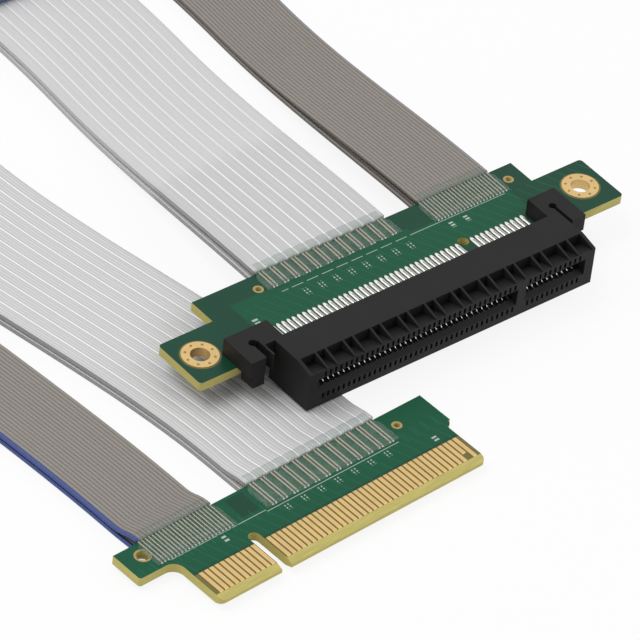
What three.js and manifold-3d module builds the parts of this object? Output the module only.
// A flexible riser for an eight-lane expansion card: a small circuit board with a card edge,
// a second board with a card socket, and two flat ribbons on each face of the boards between them.
// Millimetres, +Z up. It lies on its ribbons, with the ribbons folded back on themselves behind it.
import * as THREE from "three";
import { mergeVertices } from "three/addons/utils/BufferGeometryUtils.js";
import Module from "manifold-3d";

const wasm = await Module();
wasm.setup();

// Card edge and its contacts
const PITCH = 1.0;
const SHORT_PIN_COUNT = 11;
const LONG_PIN_COUNT = 38;
const KEY_WIDTH = 1.9;
const KEY_TO_PIN = 0.55;
const EDGE_TO_PIN = 1.1;
const FINGER_WIDTH = 0.7;
const FINGER_FRONT = 1.3;
const FINGER_BACK = 5.6;
const FINGER_THICKNESS = 0.1;
const FINGER_BAR = 0.6;
const SHORT_FINGER_SETBACK = 1.4;
const SHORT_FINGER_FROM_END = 1;

// Both circuit boards
const BOARD_THICKNESS = 1.57;
const BEVEL_LENGTH = 1.3;
const BEVEL_ANGLE = THREE.MathUtils.degToRad(20);
const TOOLING_HOLE_RADIUS = 0.5;

// Board with the card edge: x along the edge from the short fingers, y back from the edge
const EDGE_BOARD_DEPTH = 16.3;
const KEY_NOTCH_DEPTH = 8.25;
const TONGUE_CORNER = 0.9;
const LEFT_TAB_REACH = 6.8;
const LEFT_TAB_FRONT = 10.2;
const LEFT_TAB_FILLET = 1.9;
const LEFT_TAB_HOLE_RADIUS = 1.05;
const LEFT_TAB_HOLE = [-3.25, 13.8];
const RIGHT_TAB_REACH = 1.4;
const RIGHT_TAB_FRONT = 9.6;
const RIGHT_TAB_RELIEF = 1.0;
const TAB_CORNER = 0.5;
const RIGHT_TOOLING_HOLE_INSET = 6.0;
const RIGHT_TOOLING_HOLE_Y = 13.3;

// Board with the socket: x along the pins from the last long pin, y back from the solder tails
const SOCKET_BOARD_FRONT = -2.46;
const SOCKET_BOARD_BACK = 13.05;
const SOCKET_BOARD_LEFT = -5.9;
const SOCKET_BOARD_PAST_PINS = 7.1;
const EAR_BACK = 7.9;
const EAR_REACH_LEFT = 10.3;
const EAR_REACH_RIGHT = 10.0;
const EAR_CORNER = 0.6;
const EAR_HOLE_INSET_LEFT = 6.3;
const EAR_HOLE_INSET_RIGHT = 5.6;
const EAR_HOLE_Y = 2.8;
const TOOLING_HOLE_INSET_LEFT = 10.5;
const TOOLING_HOLE_INSET_RIGHT = 2.9;
const TOOLING_HOLE_Y = 10.1;
const PEG_HOLE_RADIUS = 0.9;
const PEG_HOLE_Y = 2.2;

// Plated mounting holes in the ears
const EYELET_BORE = 1.55;
const EYELET_WALL = 0.15;
const EYELET_CLEARANCE = 0.05;
const EYELET_FLANGE = 2.95;
const EYELET_PLATING = 0.1;
const EYELET_SEGMENTS = 24;

// Straight steps in each arc of an outline, and in each round hole of the socket board
const ARC_STEPS = 6;
const HOLE_STEPS = 12;

// How far a cutting solid runs past what it cuts, and joined blocks run into each other
const OVERCUT = 1;
const OVERLAP = 0.4;

// Socket housing
const HOUSING_END = 3.0;
const HOUSING_HEIGHT = 7.64;
const HOUSING_FRONT = -11.85;
const HOUSING_TO_BOARD = 0.3;
const SLOT_CLEARANCE = 0.12;
const SLOT_DEPTH = 8.25;
const LEAD_IN_DEPTH = 0.95;
const LEAD_IN_RISE = 0.6;
const CONTACT_SLOT_WIDTH = 0.42;
const CONTACT_SLOT_DEPTH = 0.6;
const CONTACT_SLOT_LOW = 1.64;
const CONTACT_SLOT_HIGH = 2.64;
const RIB_SLOPE_DEPTH = 3.25;
const RIB_SLOPE_DROP = 0.8;
const RIB_THICKNESS = 0.38;
const RIB_PAIR_PITCH = 5.27;
const RIB_PAIR_GAP = 1.9;
const FIRST_RIB = 0.4;
const POCKET_FLOOR_FRONT = 0.88;
const POCKET_FLOOR_BACK = 1.95;
const END_WALL = 0.6;

// Brackets at the ends of the housing
const LEFT_BRACKET = { left: -9.3, right: -1.2, front: -5.6, back: 1.2, inner: -4.9 };
const LEFT_LEG = { left: -8.6, right: -6.4, bottom: -2.2 };
const LEFT_KEYHOLE = { x: -6.2, y: -1.9, radius: 0.72, slot: 0.5, slotEnd: -5.5 };
const RIGHT_BRACKET_PAST_PINS = { left: 0.9, right: 6.2 };
const RIGHT_BRACKET = { front: -5.6, back: 2.1 };
const RIGHT_KEYHOLE_PAST_PINS = { x: 3.2, slotEnd: 3.3 };
const RIGHT_KEYHOLE = { y: -1.2, radius: 0.65, slot: 0.5 };
const KEYHOLE_SEGMENTS = 16;

// Contacts of the socket: one bar in a groove of the housing joins each row of tails
const TAIL_WIDTH = 0.42;
const TAIL_THICKNESS = 0.25;
const TAIL_HEIGHT = 0.55;
const TAIL_END = 2.2;
const TAIL_BEND_START = -1.1;
const TAIL_BEND_END = -0.2;
const TAIL_BAR_DEPTH = 0.8;
const TAIL_BAR_FRONT = -4.1;
const GROOVE_CLEARANCE = 0.2;

// Ribbons
const CABLE_LENGTH = 300;
const WHITE = { width: 25.4, thickness: 1.0, foldRadius: 1.5, groups: 12, wiresInGroup: 2, sway: 7.2 };
const GREY = { width: 14.3, thickness: 0.7, foldRadius: 1.3, groups: 22, wiresInGroup: 1, sway: 3 };
const LAYER_GAP = 0.3;
const WHITE_WIRE_SPREAD = 1.0;
const WIRE_SIZE = 0.3;
const WIRE_BAR = 0.4;
const JOINT_GAP = 0.3;
const FILM_THICKNESS = 0.35;
const FILM_MARGIN = 0.5;
const LOWER_DROP_RUN = 4.5;
const UPPER_DROP_RUN = 55;
const SWAY_START = 8;
const SWAY_END = 80;
const RETURN_SWAY = 5.2;
const RETURN_SWAY_END = 72;
const FOLD_STEPS = 8;
const LOWER_DROP_STEPS = 3;
const RETURN_STEPS = 12;
const SWAY_STEPS = 8;

// Where the ribbons are soldered: centre along the board and length of bare wire
const EDGE_JOINTS = { white: { x: 31.4, bare: 5.2 }, grey: { x: 4.8, bare: 5.2 } };
const SOCKET_JOINTS = { white: { x: 18.9, bare: 3.7 }, grey: { x: 45.3, bare: 4.8 } };

// How the two boards lie: the socket board is square to the frame
const EDGE_BOARD_YAW = THREE.MathUtils.degToRad(3.2);
const SOCKET_BOARD_SHIFT = [40.56, 34.94];

// Worked out from the sizes above
const SHORT_LENGTH = EDGE_TO_PIN + (SHORT_PIN_COUNT - 1) * PITCH + KEY_TO_PIN;
const LONG_START = SHORT_LENGTH + KEY_WIDTH;
const TONGUE_WIDTH = LONG_START + KEY_TO_PIN + (LONG_PIN_COUNT - 1) * PITCH + EDGE_TO_PIN;
const PIN_GAP = KEY_WIDTH + 2 * KEY_TO_PIN;
const LONG_SPAN = (LONG_PIN_COUNT - 1) * PITCH;
const PIN_SPAN = LONG_SPAN + PIN_GAP + (SHORT_PIN_COUNT - 1) * PITCH;
const HOUSING_BACK = SOCKET_BOARD_FRONT - HOUSING_TO_BOARD;
const BOARD_MIDDLE = -BOARD_THICKNESS / 2;
const HOUSING_TOP = BOARD_MIDDLE + HOUSING_HEIGHT / 2;
const HOUSING_BOTTOM = BOARD_MIDDLE - HOUSING_HEIGHT / 2;
const FILM_TOP = WIRE_SIZE + FILM_THICKNESS;
const EDGE_BOARD_TOP = FILM_TOP + BOARD_THICKNESS;
const WHITE_STACK = 2 * WHITE.thickness + LAYER_GAP;
const SOCKET_BOARD_TOP = WHITE_STACK + LAYER_GAP - HOUSING_BOTTOM;
const RIBBON_START = WIRE_BAR + JOINT_GAP;
const SOCKET_BOARD_RIGHT = PIN_SPAN + SOCKET_BOARD_PAST_PINS;
const EAR_HOLE_LEFT = SOCKET_BOARD_LEFT - EAR_HOLE_INSET_LEFT;
const EAR_HOLE_RIGHT = SOCKET_BOARD_RIGHT + EAR_HOLE_INSET_RIGHT;

const COLOURS = {
  mask: 0x1f6b4a,
  gold: 0xd8b56a,
  tin: 0xd9d9d4,
  housing: 0x2b2b2c,
  copper: 0xc9a184,
  film: 0xbfd3c4,
  white: 0xdcdcdc,
  grey: 0x77736f,
};

function material(colour, roughness, metalness) {
  return new THREE.MeshStandardMaterial({ color: colour, roughness, metalness });
}

function piece(name, geometry, finish) {
  const mesh = new THREE.Mesh(geometry, finish);
  mesh.name = name;
  return mesh;
}

// Turns a closed geometry into a solid that can be cut and joined.
function solid(geometry) {
  const plain = (geometry.index ? geometry.toNonIndexed() : geometry.clone());
  plain.deleteAttribute("normal");
  plain.deleteAttribute("uv");
  const merged = mergeVertices(plain, 1e-4);
  return new wasm.Manifold(new wasm.Mesh({
    numProp: 3,
    vertProperties: new Float32Array(merged.attributes.position.array),
    triVerts: new Uint32Array(merged.index.array),
  }));
}

function geometryOf(made) {
  const mesh = made.getMesh();
  const geometry = new THREE.BufferGeometry();
  geometry.setAttribute("position", new THREE.BufferAttribute(mesh.vertProperties, 3));
  geometry.setIndex(new THREE.BufferAttribute(mesh.triVerts, 1));
  return geometry;
}

function join(geometries) {
  return geometries.map(solid).reduce((whole, next) => whole.add(next));
}

function cut(whole, geometries) {
  return geometries.map(solid).reduce((rest, tool) => rest.subtract(tool), whole);
}

function block(x0, x1, y0, y1, z0, z1) {
  const geometry = new THREE.BoxGeometry(x1 - x0, y1 - y0, z1 - z0);
  return geometry.translate((x0 + x1) / 2, (y0 + y1) / 2, (z0 + z1) / 2);
}

function slab(shape, z0, z1, curveSegments = ARC_STEPS) {
  const geometry = new THREE.ExtrudeGeometry(shape, {
    depth: z1 - z0,
    bevelEnabled: false,
    curveSegments,
  });
  return geometry.translate(0, 0, z0);
}

// A prism along x whose section is drawn in y and z.
function prism(section, x0, x1) {
  const shape = new THREE.Shape(section.map(([y, z]) => new THREE.Vector2(y, z)));
  const geometry = new THREE.ExtrudeGeometry(shape, { depth: x1 - x0, bevelEnabled: false });
  const cycle = new THREE.Matrix4().makeBasis(
    new THREE.Vector3(0, 1, 0),
    new THREE.Vector3(0, 0, 1),
    new THREE.Vector3(1, 0, 0),
  );
  return geometry.applyMatrix4(cycle).translate(x0, 0, 0);
}

function holeIn(shape, x, y, radius) {
  const hole = new THREE.Path();
  hole.absarc(x, y, radius, 0, 2 * Math.PI, true);
  shape.holes.push(hole);
}

// A flat comb: teeth {x0, x1, y} that stand out of a bar from barNear to barFar.
function comb(teeth, barNear, barFar) {
  const shape = new THREE.Shape();
  const first = teeth[0];
  const last = teeth[teeth.length - 1];
  shape.moveTo(first.x0, barFar);
  teeth.forEach(({ x0, x1, y }) => {
    shape.lineTo(x0, barNear);
    shape.lineTo(x0, y);
    shape.lineTo(x1, y);
    shape.lineTo(x1, barNear);
  });
  shape.lineTo(last.x1, barFar);
  shape.lineTo(first.x0, barFar);
  return shape;
}

// Places a piece that was drawn on the upper face of a board, or its mirror on the lower face.
function onFace(mesh, upper) {
  if (!upper) {
    mesh.scale.z = -1;
    mesh.position.z = -BOARD_THICKNESS;
  }
  return mesh;
}

// Board with the card edge
function edgeBoardShape() {
  const shape = new THREE.Shape();
  const right = TONGUE_WIDTH;
  const tabRight = right + RIGHT_TAB_REACH;
  const round = TONGUE_CORNER;
  const fillet = LEFT_TAB_FILLET;
  const keyRadius = KEY_WIDTH / 2;
  const notchTop = KEY_NOTCH_DEPTH - keyRadius;
  shape.moveTo(round, 0);
  shape.lineTo(SHORT_LENGTH, 0);
  shape.lineTo(SHORT_LENGTH, notchTop);
  shape.absarc(SHORT_LENGTH + keyRadius, notchTop, keyRadius, Math.PI, 0, true);
  shape.lineTo(LONG_START, 0);
  shape.lineTo(right - round, 0);
  shape.absarc(right - round, round, round, -Math.PI / 2, 0, false);
  shape.lineTo(right, RIGHT_TAB_FRONT - RIGHT_TAB_RELIEF);
  shape.absarc(right, RIGHT_TAB_FRONT, RIGHT_TAB_RELIEF, -Math.PI / 2, 0, false);
  shape.lineTo(tabRight, RIGHT_TAB_FRONT);
  shape.lineTo(tabRight, EDGE_BOARD_DEPTH);
  shape.lineTo(-LEFT_TAB_REACH, EDGE_BOARD_DEPTH);
  shape.lineTo(-LEFT_TAB_REACH, LEFT_TAB_FRONT + TAB_CORNER);
  shape.absarc(-LEFT_TAB_REACH + TAB_CORNER, LEFT_TAB_FRONT + TAB_CORNER, TAB_CORNER,
    Math.PI, 1.5 * Math.PI, false);
  shape.lineTo(-fillet, LEFT_TAB_FRONT);
  shape.absarc(-fillet, LEFT_TAB_FRONT - fillet, fillet, Math.PI / 2, 0, true);
  shape.lineTo(0, round);
  shape.absarc(round, round, round, Math.PI, 1.5 * Math.PI, false);
  holeIn(shape, ...LEFT_TAB_HOLE, LEFT_TAB_HOLE_RADIUS);
  holeIn(shape, right - RIGHT_TOOLING_HOLE_INSET, RIGHT_TOOLING_HOLE_Y, TOOLING_HOLE_RADIUS);
  return shape;
}

function bevelCutters() {
  const drop = BEVEL_LENGTH * Math.tan(BEVEL_ANGLE);
  const x0 = -OVERCUT;
  const x1 = TONGUE_WIDTH + OVERCUT;
  const slope = drop / BEVEL_LENGTH;
  const upper = [
    [-OVERCUT, -drop - OVERCUT * slope],
    [BEVEL_LENGTH, 0],
    [BEVEL_LENGTH, OVERCUT],
    [-OVERCUT, OVERCUT],
  ];
  const lower = upper.map(([y, z]) => [y, -BOARD_THICKNESS - z]).reverse();
  return [prism(upper, x0, x1), prism(lower, x0, x1)];
}

function edgeBoard() {
  const plate = solid(slab(edgeBoardShape(), -BOARD_THICKNESS, 0));
  return geometryOf(cut(plate, bevelCutters()));
}

function fingerComb(firstPin, count, shortOne) {
  const teeth = [];
  for (let i = 0; i < count; i++) {
    const x = firstPin + i * PITCH;
    const setback = i === shortOne ? SHORT_FINGER_SETBACK : 0;
    teeth.push({
      x0: x - FINGER_WIDTH / 2,
      x1: x + FINGER_WIDTH / 2,
      y: FINGER_FRONT + setback,
    });
  }
  return slab(comb(teeth, FINGER_BACK, FINGER_BACK + FINGER_BAR), 0, FINGER_THICKNESS);
}

// Bare conductors on a board, joined by a bar behind the board's back edge.
function wireComb(ribbon, centre, backEdge, bare) {
  const spacing = ribbon.width / ribbon.groups;
  const teeth = [];
  for (let i = 0; i < ribbon.groups; i++) {
    const middle = centre + (i - (ribbon.groups - 1) / 2) * spacing;
    for (let k = 0; k < ribbon.wiresInGroup; k++) {
      const x = middle + (k - (ribbon.wiresInGroup - 1) / 2) * WHITE_WIRE_SPREAD;
      teeth.push({ x0: x - WIRE_SIZE / 2, x1: x + WIRE_SIZE / 2, y: backEdge - bare });
    }
  }
  return slab(comb(teeth, backEdge, backEdge + WIRE_BAR), 0, WIRE_SIZE);
}

function jointFilm(ribbon, centre, backEdge, bare) {
  const half = ribbon.width / 2 + FILM_MARGIN;
  return block(
    centre - half,
    centre + half,
    backEdge - bare - FILM_MARGIN,
    backEdge + WIRE_BAR,
    WIRE_SIZE,
    WIRE_SIZE + FILM_THICKNESS,
  );
}

function addJoints(board, boardName, joints, backEdge, finishes) {
  for (const [colour, ribbon] of [["white", WHITE], ["grey", GREY]]) {
    const { x, bare } = joints[colour];
    for (const [face, upper] of [["top", true], ["bottom", false]]) {
      const wires = wireComb(ribbon, x, backEdge, bare);
      const film = jointFilm(ribbon, x, backEdge, bare);
      const end = `${boardName}_${colour}_${face}`;
      board.add(onFace(piece(`wires_${end}`, wires, finishes.copper), upper));
      board.add(onFace(piece(`film_${end}`, film, finishes.film), upper));
    }
  }
}

// Board with the socket
function socketBoardShape() {
  const shape = new THREE.Shape();
  const left = SOCKET_BOARD_LEFT;
  const right = SOCKET_BOARD_RIGHT;
  const earLeft = left - EAR_REACH_LEFT;
  const earRight = right + EAR_REACH_RIGHT;
  const round = EAR_CORNER;
  const front = SOCKET_BOARD_FRONT;
  shape.moveTo(earLeft + round, front);
  shape.lineTo(earRight - round, front);
  shape.absarc(earRight - round, front + round, round, -Math.PI / 2, 0, false);
  shape.lineTo(earRight, EAR_BACK - round);
  shape.absarc(earRight - round, EAR_BACK - round, round, 0, Math.PI / 2, false);
  shape.lineTo(right, EAR_BACK);
  shape.lineTo(right, SOCKET_BOARD_BACK);
  shape.lineTo(left, SOCKET_BOARD_BACK);
  shape.lineTo(left, EAR_BACK);
  shape.lineTo(earLeft + round, EAR_BACK);
  shape.absarc(earLeft + round, EAR_BACK - round, round, Math.PI / 2, Math.PI, false);
  shape.lineTo(earLeft, front + round);
  shape.absarc(earLeft + round, front + round, round, Math.PI, 1.5 * Math.PI, false);
  const holeRadius = EYELET_BORE + EYELET_WALL + EYELET_CLEARANCE;
  [EAR_HOLE_LEFT, EAR_HOLE_RIGHT].forEach((x) => holeIn(shape, x, EAR_HOLE_Y, holeRadius));
  holeIn(shape, left + TOOLING_HOLE_INSET_LEFT, TOOLING_HOLE_Y, TOOLING_HOLE_RADIUS);
  holeIn(shape, right - TOOLING_HOLE_INSET_RIGHT, TOOLING_HOLE_Y, TOOLING_HOLE_RADIUS);
  holeIn(shape, LONG_SPAN + PIN_GAP / 2, PEG_HOLE_Y, PEG_HOLE_RADIUS);
  return shape;
}

function eyelet() {
  const outer = EYELET_BORE + EYELET_WALL;
  const top = EYELET_PLATING;
  const bottom = -BOARD_THICKNESS - EYELET_PLATING;
  const profile = [
    [EYELET_BORE, bottom],
    [EYELET_FLANGE, bottom],
    [EYELET_FLANGE, -BOARD_THICKNESS],
    [outer, -BOARD_THICKNESS],
    [outer, 0],
    [EYELET_FLANGE, 0],
    [EYELET_FLANGE, top],
    [EYELET_BORE, top],
    [EYELET_BORE, bottom],
  ].map(([r, z]) => new THREE.Vector2(r, z));
  return new THREE.LatheGeometry(profile, EYELET_SEGMENTS).rotateX(Math.PI / 2);
}

function pinPlaces() {
  const places = [];
  for (let i = 0; i < LONG_PIN_COUNT; i++) {
    places.push(i * PITCH);
  }
  for (let i = 0; i < SHORT_PIN_COUNT; i++) {
    places.push(LONG_SPAN + PIN_GAP + i * PITCH);
  }
  return places;
}

// The slots take the card edge of the other board, with its key between them.
function cardSlots() {
  const half = BOARD_THICKNESS / 2 + SLOT_CLEARANCE;
  const back = HOUSING_FRONT + SLOT_DEPTH;
  const front = HOUSING_FRONT - OVERCUT;
  const mouth = half + LEAD_IN_RISE;
  const section = [
    [back, BOARD_MIDDLE - half],
    [back, BOARD_MIDDLE + half],
    [HOUSING_FRONT + LEAD_IN_DEPTH, BOARD_MIDDLE + half],
    [HOUSING_FRONT, BOARD_MIDDLE + mouth],
    [front, BOARD_MIDDLE + mouth],
    [front, BOARD_MIDDLE - mouth],
    [HOUSING_FRONT, BOARD_MIDDLE - mouth],
    [HOUSING_FRONT + LEAD_IN_DEPTH, BOARD_MIDDLE - half],
  ].reverse();
  const endReach = EDGE_TO_PIN + SLOT_CLEARANCE;
  const keyReach = KEY_TO_PIN + SLOT_CLEARANCE;
  return [
    prism(section, -endReach, LONG_SPAN + keyReach),
    prism(section, LONG_SPAN + PIN_GAP - keyReach, PIN_SPAN + endReach),
  ];
}

function contactSlots() {
  const back = HOUSING_FRONT + CONTACT_SLOT_DEPTH;
  const half = CONTACT_SLOT_WIDTH / 2;
  return pinPlaces().flatMap((x) => [1, -1].map((side) => {
    const low = BOARD_MIDDLE + side * CONTACT_SLOT_LOW;
    const high = BOARD_MIDDLE + side * CONTACT_SLOT_HIGH;
    const z0 = Math.min(low, high);
    const z1 = Math.max(low, high);
    return block(x - half, x + half, HOUSING_FRONT - OVERCUT, back, z0, z1);
  }));
}

function ribPlaces() {
  const ribs = [-HOUSING_END + END_WALL / 2];
  const last = PIN_SPAN + HOUSING_END - END_WALL / 2;
  for (let x = FIRST_RIB; x < last - RIB_PAIR_GAP; x += RIB_PAIR_PITCH) {
    ribs.push(x, x + RIB_PAIR_GAP);
  }
  return ribs.filter((x) => x < last - RIB_THICKNESS).concat([last]);
}

// Open pockets between the ribs, above the row of contact slots.
function pockets() {
  const back = HOUSING_FRONT + RIB_SLOPE_DEPTH;
  const front = HOUSING_FRONT - OVERCUT;
  const high = HOUSING_TOP + OVERCUT;
  const section = [
    [back, HOUSING_TOP - POCKET_FLOOR_BACK],
    [HOUSING_FRONT, HOUSING_TOP - POCKET_FLOOR_FRONT],
    [front, HOUSING_TOP - POCKET_FLOOR_FRONT],
    [front, high],
    [back, high],
  ].reverse();
  const ribs = ribPlaces();
  return ribs.slice(1).map((x, i) => {
    const from = ribs[i] + (i === 0 ? END_WALL : RIB_THICKNESS) / 2;
    const to = x - (i === ribs.length - 2 ? END_WALL : RIB_THICKNESS) / 2;
    return prism(section, from, to);
  });
}

function ribSlope() {
  const slope = RIB_SLOPE_DROP / RIB_SLOPE_DEPTH;
  const section = [
    [HOUSING_FRONT + RIB_SLOPE_DEPTH, HOUSING_TOP],
    [HOUSING_FRONT + RIB_SLOPE_DEPTH, HOUSING_TOP + OVERCUT],
    [HOUSING_FRONT - OVERCUT, HOUSING_TOP + OVERCUT],
    [HOUSING_FRONT - OVERCUT, HOUSING_TOP - RIB_SLOPE_DROP - OVERCUT * slope],
  ].reverse();
  return prism(section, -HOUSING_END - OVERCUT, PIN_SPAN + HOUSING_END + OVERCUT);
}

function tailGrooves() {
  const low = TAIL_HEIGHT - GROOVE_CLEARANCE;
  const high = TAIL_HEIGHT + TAIL_THICKNESS + GROOVE_CLEARANCE;
  const front = TAIL_BAR_FRONT - GROOVE_CLEARANCE;
  const reach = TAIL_WIDTH / 2 + GROOVE_CLEARANCE;
  const rows = [[-reach, LONG_SPAN + reach], [LONG_SPAN + PIN_GAP - reach, PIN_SPAN + reach]];
  return rows.flatMap(([x0, x1]) => [
    block(x0, x1, front, HOUSING_BACK + OVERCUT, low, high),
    block(x0, x1, front, HOUSING_BACK + OVERCUT, -BOARD_THICKNESS - high, -BOARD_THICKNESS - low),
  ]);
}

// A round hole through a bracket, with a slot from it to the bracket's front.
function keyhole({ x, y, radius, slot, slotEnd }, front) {
  const height = HOUSING_TOP + 2 * OVERCUT;
  const round = new THREE.CylinderGeometry(radius, radius, height, KEYHOLE_SEGMENTS);
  round.rotateX(Math.PI / 2).translate(x, y, height / 2 - OVERCUT);
  const near = Math.min(x, slotEnd) - slot / 2;
  const far = Math.max(x, slotEnd) + slot / 2;
  return [round, block(near, far, front - OVERCUT, y, -OVERCUT, height - OVERCUT)];
}

function socketHousing() {
  const right = PIN_SPAN + HOUSING_END;
  const left = LEFT_BRACKET;
  const arm = {
    ...RIGHT_BRACKET,
    left: PIN_SPAN + RIGHT_BRACKET_PAST_PINS.left,
    right: PIN_SPAN + RIGHT_BRACKET_PAST_PINS.right,
  };
  const armKeyhole = {
    ...RIGHT_KEYHOLE,
    x: PIN_SPAN + RIGHT_KEYHOLE_PAST_PINS.x,
    slotEnd: PIN_SPAN + RIGHT_KEYHOLE_PAST_PINS.slotEnd,
  };
  const body = join([
    block(-HOUSING_END, right, HOUSING_FRONT, HOUSING_BACK, HOUSING_BOTTOM, HOUSING_TOP),
    block(left.left, left.right, HOUSING_BACK - OVERLAP, left.back, 0, HOUSING_TOP),
    block(left.left, left.inner, left.front, HOUSING_BACK, 0, HOUSING_TOP),
    block(LEFT_LEG.left, LEFT_LEG.right, left.front, HOUSING_BACK, LEFT_LEG.bottom, OVERLAP),
    block(arm.left, arm.right, HOUSING_BACK - OVERLAP, arm.back, 0, HOUSING_TOP),
    block(right - OVERLAP, arm.right, arm.front, HOUSING_BACK, 0, HOUSING_TOP),
  ]);
  const tools = [
    ...cardSlots(),
    ...contactSlots(),
    ...pockets(),
    ribSlope(),
    ...tailGrooves(),
    ...keyhole(LEFT_KEYHOLE, left.front),
    ...keyhole(armKeyhole, arm.front),
  ];
  return geometryOf(cut(body, tools));
}

function tailRow(firstPin, count) {
  const low = TAIL_HEIGHT;
  const high = TAIL_HEIGHT + TAIL_THICKNESS;
  const barBack = TAIL_BAR_FRONT + TAIL_BAR_DEPTH;
  const inside = barBack - TAIL_THICKNESS;
  const section = [
    [inside, low],
    [TAIL_BEND_START, low],
    [TAIL_BEND_END, 0],
    [TAIL_END, 0],
    [TAIL_END, TAIL_THICKNESS],
    [TAIL_BEND_END + TAIL_THICKNESS / 2, TAIL_THICKNESS],
    [TAIL_BEND_START + TAIL_THICKNESS / 2, high],
    [inside, high],
  ];
  const half = TAIL_WIDTH / 2;
  const parts = [
    block(firstPin - half, firstPin + (count - 1) * PITCH + half, TAIL_BAR_FRONT, barBack, low, high),
  ];
  for (let i = 0; i < count; i++) {
    const x = firstPin + i * PITCH;
    parts.push(prism(section, x - half, x + half));
  }
  return geometryOf(join(parts));
}

// The route of one pair of ribbons: out of the card-edge board, over a crease to the right,
// across, under a second crease, and back to the socket board. All of it keeps the real length.
function ribbonRoute(ribbon, start, heading, end) {
  const across = new THREE.Vector2(1, 0);
  const home = new THREE.Vector2(0, -1);
  const left = new THREE.Vector2(-heading.y, heading.x);
  const radius = ribbon.foldRadius;
  const arc = Math.PI * radius;
  const crease = (from, to) => {
    const normal = from.clone().sub(to).normalize();
    const along = from.clone().add(to).normalize();
    return { normal, along, cos: from.dot(normal), tan: from.dot(along) / from.dot(normal) };
  };
  const first = crease(heading, across);
  const second = crease(across, home);
  const swayed = start.clone().addScaledVector(left, ribbon.sway);
  const rest = end.clone().sub(swayed)
    .addScaledVector(across, RETURN_SWAY)
    .addScaledVector(first.along, -arc * first.tan)
    .addScaledVector(second.along, -arc * second.tan);
  const inCreases = arc / first.cos + arc / second.cos;
  const run = (CABLE_LENGTH - inCreases - rest.x + rest.y) / (1 - heading.x + heading.y);
  const cross = rest.x - run * heading.x;
  const back = run * heading.y - rest.y;
  const creaseStart = swayed.clone().addScaledVector(heading, run);
  const crossStart = creaseStart.clone().addScaledVector(first.along, arc * first.tan);
  const secondStart = crossStart.clone().addScaledVector(across, cross);
  const backStart = secondStart.clone().addScaledVector(second.along, arc * second.tan);
  const middle = ribbon.thickness + LAYER_GAP / 2;
  return {
    ribbon, start, heading, left, across, home, first, second, back, middle,
    creaseStart, secondStart, backStart, radius, arc,
  };
}

const ease = (t) => {
  const x = THREE.MathUtils.clamp(t, 0, 1);
  return x * x * (3 - 2 * x);
};

// Stations across the ribbon, from the card-edge board to the socket board. Each gives the place
// of a point that lies c to the right of the centre line and n above the middle of the pair.
function ribbonStations(route, startRise, endRise) {
  const { ribbon, heading, left, first, second, radius, arc, middle } = route;
  const right = left.clone().negate();
  const stations = [];
  const reach = ribbon.width / 2;
  const straight = (s) => (c, n) => {
    const sway = ribbon.sway * ease((s - SWAY_START) / (SWAY_END - SWAY_START));
    const rise = startRise * (1 - ease(s / LOWER_DROP_RUN));
    const p = route.start.clone()
      .addScaledVector(heading, s)
      .addScaledVector(left, sway)
      .addScaledVector(right, c);
    return [p.x, p.y, middle + n + rise];
  };
  for (let i = 0; i <= LOWER_DROP_STEPS; i++) {
    stations.push(straight(LOWER_DROP_RUN * i / LOWER_DROP_STEPS));
  }
  for (let i = 0; i <= SWAY_STEPS; i++) {
    stations.push(straight(SWAY_START + (SWAY_END - SWAY_START) * i / SWAY_STEPS));
  }
  const bend = (origin, crease, side, step, up) => (c, n) => {
    const x = arc * step / FOLD_STEPS;
    const angle = x / radius;
    const s = (x - c * side.dot(crease.normal)) / crease.cos;
    const flat = crease.from.clone().multiplyScalar(s).addScaledVector(side, c);
    const y = flat.dot(crease.along);
    const out = (radius - n) * Math.sin(angle);
    const rise = radius - (radius - n) * Math.cos(angle);
    const p = origin.clone().addScaledVector(crease.normal, out).addScaledVector(crease.along, y);
    return [p.x, p.y, up ? middle + rise : middle + 2 * radius - rise];
  };
  for (let i = 0; i <= FOLD_STEPS; i++) {
    stations.push(bend(route.creaseStart, { ...first, from: heading }, right, i, true));
  }
  const crossSide = right.clone().addScaledVector(first.normal, -2 * right.dot(first.normal));
  for (let i = 0; i <= FOLD_STEPS; i++) {
    stations.push(bend(route.secondStart, { ...second, from: route.across }, crossSide, i, false));
  }
  const homeSide = crossSide.clone().addScaledVector(second.normal, -2 * crossSide.dot(second.normal));
  const homeward = (s) => (c, n) => {
    const remaining = route.back - s;
    const rise = endRise * (1 - ease(remaining / UPPER_DROP_RUN));
    const sway = RETURN_SWAY * (1 - ease(remaining / RETURN_SWAY_END));
    const p = route.backStart.clone()
      .addScaledVector(route.home, s)
      .addScaledVector(route.across, -sway)
      .addScaledVector(homeSide, c);
    return [p.x, p.y, middle + n + rise];
  };
  stations.push(homeward(reach + 2 * radius));
  for (let i = 0; i <= RETURN_STEPS; i++) {
    stations.push(homeward(route.back - RETURN_SWAY_END * (1 - i / RETURN_STEPS)));
  }
  return stations;
}

function ribbonLayer(route, layer, startHeight, endHeight) {
  const { ribbon, middle } = route;
  const offset = layer * (ribbon.thickness + LAYER_GAP) / 2;
  const startRise = startHeight - middle - offset;
  const endRise = endHeight - middle - offset;
  const stations = ribbonStations(route, startRise, endRise);
  const steps = stations.length - 1;
  const geometry = new THREE.BoxGeometry(ribbon.width, steps, ribbon.thickness, 1, steps, 1);
  const position = geometry.attributes.position;
  for (let i = 0; i < position.count; i++) {
    const station = stations[Math.round(position.getY(i) + steps / 2)];
    position.setXYZ(i, ...station(position.getX(i), position.getZ(i) + offset));
  }
  return geometry;
}

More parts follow.
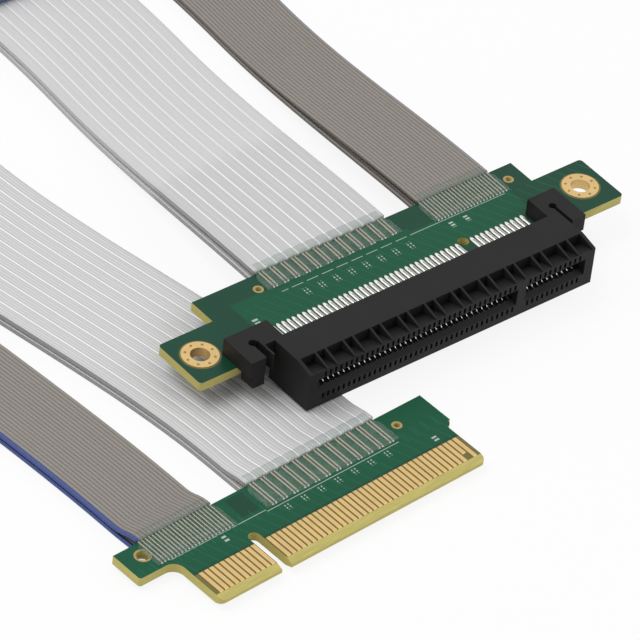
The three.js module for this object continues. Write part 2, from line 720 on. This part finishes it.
function addRibbons(riser, edgeGroup, socketGroup, finishes) {
  const heading = new THREE.Vector2(0, 1).rotateAround(new THREE.Vector2(), EDGE_BOARD_YAW);
  const worldPoint = (group, x, y) => {
    group.updateMatrix();
    const p = new THREE.Vector3(x, y, 0).applyMatrix4(group.matrix);
    return new THREE.Vector2(p.x, p.y);
  };
  const wireMiddle = WIRE_SIZE / 2;
  for (const [colour, ribbon] of [["white", WHITE], ["grey", GREY]]) {
    const start = worldPoint(edgeGroup, EDGE_JOINTS[colour].x, EDGE_BOARD_DEPTH + RIBBON_START);
    const end = worldPoint(socketGroup, SOCKET_JOINTS[colour].x, SOCKET_BOARD_BACK + RIBBON_START);
    const route = ribbonRoute(ribbon, start, heading, end);
    const layers = [
      ["top", 1, EDGE_BOARD_TOP + wireMiddle, SOCKET_BOARD_TOP + wireMiddle],
      ["bottom", -1, EDGE_BOARD_TOP - BOARD_THICKNESS - wireMiddle,
        SOCKET_BOARD_TOP - BOARD_THICKNESS - wireMiddle],
    ];
    for (const [face, layer, startHeight, endHeight] of layers) {
      const geometry = ribbonLayer(route, layer, startHeight, endHeight);
      riser.add(piece(`ribbon_${colour}_${face}`, geometry, finishes[colour]));
    }
  }
}

function buildEdgeBoard(finishes) {
  const board = new THREE.Group();
  board.rotation.z = EDGE_BOARD_YAW;
  board.position.z = EDGE_BOARD_TOP;
  board.add(piece("edge_board", edgeBoard(), finishes.mask));
  for (const [face, upper] of [["top", true], ["bottom", false]]) {
    const short = fingerComb(EDGE_TO_PIN, SHORT_PIN_COUNT, -1);
    const setBack = LONG_PIN_COUNT - 1 - SHORT_FINGER_FROM_END;
    const long = fingerComb(LONG_START + KEY_TO_PIN, LONG_PIN_COUNT, setBack);
    board.add(onFace(piece(`fingers_short_${face}`, short, finishes.gold), upper));
    board.add(onFace(piece(`fingers_long_${face}`, long, finishes.gold), upper));
  }
  addJoints(board, "edge", EDGE_JOINTS, EDGE_BOARD_DEPTH, finishes);
  return board;
}

function buildSocketBoard(finishes) {
  const board = new THREE.Group();
  const place = new THREE.Vector2(...SOCKET_BOARD_SHIFT).rotateAround(new THREE.Vector2(), EDGE_BOARD_YAW);
  board.position.set(place.x, place.y, SOCKET_BOARD_TOP);
  const plate = slab(socketBoardShape(), -BOARD_THICKNESS, 0, HOLE_STEPS);
  board.add(piece("socket_board", plate, finishes.mask));
  board.add(piece("socket_housing", socketHousing(), finishes.housing));
  for (const [face, upper] of [["top", true], ["bottom", false]]) {
    const long = tailRow(0, LONG_PIN_COUNT);
    const short = tailRow(LONG_SPAN + PIN_GAP, SHORT_PIN_COUNT);
    board.add(onFace(piece(`contacts_long_${face}`, long, finishes.tin), upper));
    board.add(onFace(piece(`contacts_short_${face}`, short, finishes.tin), upper));
  }
  for (const [side, x] of [["left", EAR_HOLE_LEFT], ["right", EAR_HOLE_RIGHT]]) {
    const ring = piece(`eyelet_${side}`, eyelet(), finishes.gold);
    ring.position.set(x, EAR_HOLE_Y, 0);
    board.add(ring);
  }
  addJoints(board, "socket", SOCKET_JOINTS, SOCKET_BOARD_BACK, finishes);
  return board;
}

function buildRiser() {
  const finishes = {
    mask: material(COLOURS.mask, 0.35, 0),
    gold: material(COLOURS.gold, 0.3, 1),
    tin: material(COLOURS.tin, 0.35, 1),
    housing: material(COLOURS.housing, 0.55, 0),
    copper: material(COLOURS.copper, 0.4, 1),
    film: material(COLOURS.film, 0.2, 0),
    white: material(COLOURS.white, 0.4, 0),
    grey: material(COLOURS.grey, 0.6, 0),
  };
  const boards = new THREE.Group();
  const edgeGroup = buildEdgeBoard(finishes);
  const socketGroup = buildSocketBoard(finishes);
  boards.add(edgeGroup, socketGroup);
  const box = new THREE.Box3().setFromObject(boards);
  const middle = box.getCenter(new THREE.Vector3());
  const riser = new THREE.Group();
  riser.add(boards);
  addRibbons(riser, edgeGroup, socketGroup, finishes);
  riser.position.set(-middle.x, -middle.y, 0);
  return riser;
}

export default buildRiser();
